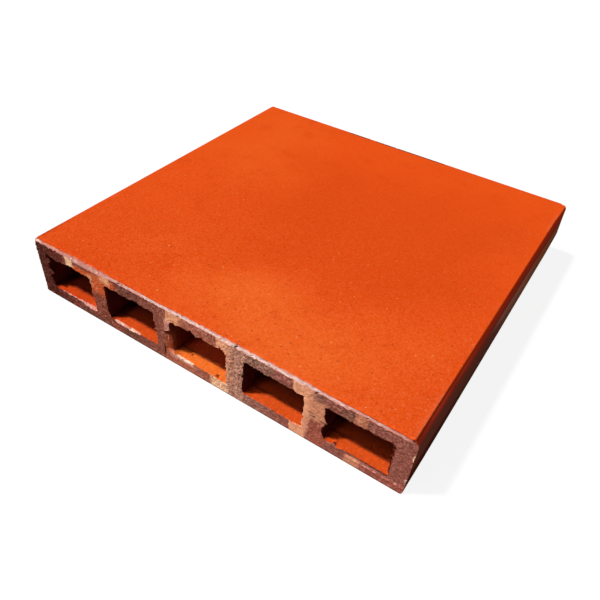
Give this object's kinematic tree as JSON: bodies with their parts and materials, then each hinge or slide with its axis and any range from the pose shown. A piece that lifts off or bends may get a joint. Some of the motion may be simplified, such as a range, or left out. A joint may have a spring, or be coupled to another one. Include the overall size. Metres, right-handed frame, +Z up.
{
  "type": "hollow clay plank tile",
  "caption": "Nearly square hollow slab of fired terracotta, extruded with a row of open rectangular cells and bevelled long top edges, for floors, roofs and partitions.",
  "frame": {"origin": "middle of the flat bed face that the tile lies on", "axes": "+X across the row of cells, +Y along the cells, +Z up from the bed face to the top face"},
  "size_m": [0.3, 0.295, 0.049],
  "materials": {
    "fired_clay": "unglazed orange terracotta, wire-cut ends flashed brown in firing"
  },
  "bodies": {
    "root": {"clay_tile": "fired_clay"}
  },
  "joints": []
}
